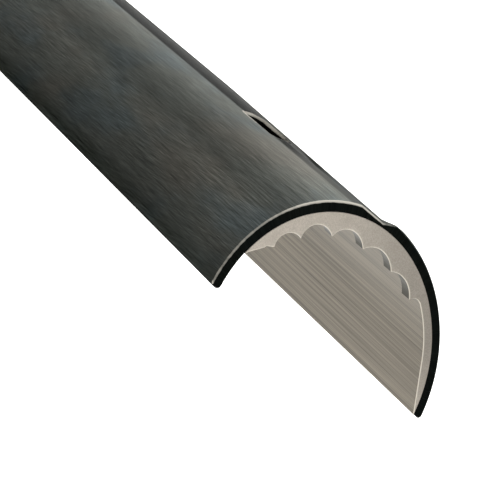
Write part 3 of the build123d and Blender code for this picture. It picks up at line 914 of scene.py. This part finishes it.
def washerProfile():
    # flat disc with quarter-round outer corners and a plain bore
    v = washer
    out = handle["rearRadius"]
    a = np.radians(np.linspace(0, 90, 5))
    back, drop = v["round"] * (1 - np.cos(a)), v["round"] * (1 - np.sin(a))
    x = np.concatenate([[washerRear], washerRear + back, handleRear - back[::-1],
                        [handleRear, handleRear - 0.1, washerRear + 0.1]])
    r = np.concatenate([[v["boreRadius"] + 0.1], out - drop, out - drop[::-1],
                        [v["boreRadius"] + 0.1, v["boreRadius"], v["boreRadius"]]])
    return x, r


fibreWasher = turnedPiece("fibreWasher", *washerProfile(), steps=128)
dress(fibreWasher, redFibre)
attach(fibreWasher, "root")
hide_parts("cap_washer")

cap = {
    "body": 4.5, "bossRadius": 6.0, "bossLength": 11.0, "flats": 8.0, "round": 1.2, "hangRadius": 2.5,
    "rodHole": 3.0, "rodDepth": 7.0, "worn": 0.25,
}


def makeCap():
    # turned body, quarter-circle cove and boss, the boss cut by two flats, with a blind hole in front
    v = cap
    cove = handle["rearRadius"] - v["bossRadius"]
    bossFront = washerRear - v["body"] - cove
    a = np.radians(np.linspace(0, 90, 24))
    b = np.radians(np.linspace(0, 90, 8))
    big = handle["rearRadius"]
    x = np.concatenate([[washerRear, washerRear - 0.03, washerRear - 0.12],
                        np.linspace(washerRear - 0.5, washerRear - v["body"] + 0.4, 6),
                        [washerRear - v["body"] + 0.1, washerRear - v["body"] + 0.01],
                        washerRear - v["body"] - cove * np.sin(a[2:-1]), [bossFront, bossFront - 0.03],
                        np.linspace(bossFront - 0.4, capRear + v["round"], 14),
                        capRear + v["round"] * (1 - np.sin(b[1:])), [capRear, capRear]])
    r = np.concatenate([[big - 0.15, big - 0.05, big - 0.01], [big] * 6, [big - 0.02, big - 0.12],
                        big - cove * (1 - np.cos(a[2:-1])), [v["bossRadius"]] * 2, [v["bossRadius"]] * 14,
                        v["bossRadius"] - v["round"] * (1 - np.cos(b[1:])), [2.4, 0.02]])
    holeX = washerRear - v["rodDepth"]
    x = np.concatenate([[holeX, holeX, washerRear - 0.2], x])
    r = np.concatenate([[0.02, v["rodHole"], v["rodHole"]], r])
    r = np.insert(r, 3, v["rodHole"] + 0.2)
    x = np.insert(x, 3, washerRear)
    angle = np.linspace(0, 360, 192, endpoint=False)
    points = place(x[:, None], angle[None, :], r[:, None])
    behind = (x < bossFront - 0.02)[:, None]
    squeezed = np.clip(points[..., 1], -v["flats"] / 2, v["flats"] / 2)
    points[..., 1] = np.where(behind, squeezed, points[..., 1])
    return makePiece("capBody", points, tubeFaces(len(x), len(angle)))


capBody = makeCap()
hangX = capRear + cap["bossLength"] / 2
bossTop = axisZ + cap["bossRadius"]
bossLow = axisZ - cap["bossRadius"]
worn = cap["worn"]
flare = cap["hangRadius"] + np.array([worn + 1, worn, 0.3 * worn, 0])
depth = np.array([-1.2, 0.2, 0.2 + 0.7 * worn, 0.2 + 1.6 * worn])
hole = rodCutter("hangHole", (hangX, 0, 0), (0, 0, 1), [*flare, *flare[::-1]],
                 [*(bossLow + depth), *(bossTop - depth[::-1])])
cutPiece(capBody, [hole])
dress(capBody, turnedBlack)
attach(capBody, "root")
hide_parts("end_cap")

dressNode("tang_block", milledAluminium)
dressNode("tang_rod", zincSteel)
print("washer and end cap")


# Studio: lit opal sweep and pale sky, with three soft lamps in watts
studio = {
    "floorReach": 1.6, "wallHeight": 1.6, "bend": 0.5, "floor": "#F4F4F2",
    "sky": 0.5, "overhead": 8.0, "back": 6.0, "front": 1.0, "glow": 0.85,
}


def makeSweep():
    # opal sheet that curves up into a wall on the far side: flat, then a quarter circle, then straight up
    v = studio
    a = np.radians(np.linspace(0, 90, 24))
    out = np.concatenate([[-v["floorReach"] * 1.5], np.linspace(-v["floorReach"], v["floorReach"], 12),
                          v["floorReach"] + v["bend"] * np.sin(a[1:]), [v["floorReach"] + v["bend"]]])
    up = np.concatenate([[0], np.zeros(12), v["bend"] * (1 - np.cos(a[1:])), [v["wallHeight"]]])
    side = np.linspace(-2.6, 2.6, 9)
    away = np.array((-0.851, 0.519, 0))
    away = away / np.linalg.norm(away)
    across = np.array((-away[1], away[0], 0))
    points = (out[:, None, None] * away + side[None, :, None] * across
              + up[:, None, None] * np.array((0, 0, 1)))
    mesh = bpy.data.meshes.new("opalSweep")
    mesh.from_pydata(points.reshape(-1, 3).tolist(), [], gridFaces(len(out), len(side))[:, ::-1].tolist())
    mesh.shade_smooth()
    sweep = bpy.data.objects.new("opalSweep", mesh)
    scene.collection.objects.link(sweep)
    # opal sheet lit from below: even white, with hardly a shadow
    material, tree, shader = newMaterial("opalSheet", {"Base Color": v["floor"], "Roughness": 0.9,
                                                       "Emission Color": v["floor"],
                                                       "Emission Strength": v["glow"]})
    sweep.data.materials.append(material)


def softLight(name, spot, aim, size, power):
    # square area light, turned towards its aim
    light = bpy.data.lights.new(name, "AREA")
    light.shape = "SQUARE"
    light.size, light.energy = size, power
    lamp = bpy.data.objects.new(name, light)
    lamp.location = spot
    lamp.rotation_euler = (Vector(aim) - Vector(spot)).to_track_quat("-Z", "Y").to_euler()
    scene.collection.objects.link(lamp)


makeSweep()
softLight("overhead", (-0.2, 0.2, 1.1), (-0.1, 0.1, 0), 1.6, studio["overhead"])
softLight("back", (-0.9, 0.6, 1.2), (-1.2, 0.75, 0.2), 1.4, studio["back"])
softLight("front", (0.9, 0.6, 0.55), (0.1, 0, 0.014), 0.6, studio["front"])
world = bpy.data.worlds.new("studio")
world.use_nodes = True
world.node_tree.nodes["Background"].inputs[0].default_value = (1, 1, 1, 1)
world.node_tree.nodes["Background"].inputs[1].default_value = studio["sky"]
scene.world = world
scene.view_settings.view_transform = "Standard"


# Camera: where it stands, and which way its right side and its top point
camera = {
    "lens": 201.6, "away": (194.453, -129.788, 22.143),      # mm from the middle of the mouth's rims
    "right": (0.379988, 0.713942, 0.588129), "up": (-0.360995, -0.470940, 0.804921),
}
view = bpy.data.cameras.new("view")
view.lens, view.sensor_width, view.clip_start = camera["lens"], 36, 0.01
eye = bpy.data.objects.new("view", view)
right = Vector(camera["right"]).normalized()
up = Vector(camera["up"])
up = (up - right * up.dot(right)).normalized()
back = right.cross(up)
turn = Matrix((right, up, back)).transposed().to_4x4()
eye.matrix_world = Matrix.Translation((Vector((mouthX, 0, axisZ)) + Vector(camera["away"])) * mm) @ turn
scene.collection.objects.link(eye)
scene.camera = eye
print("studio and camera")
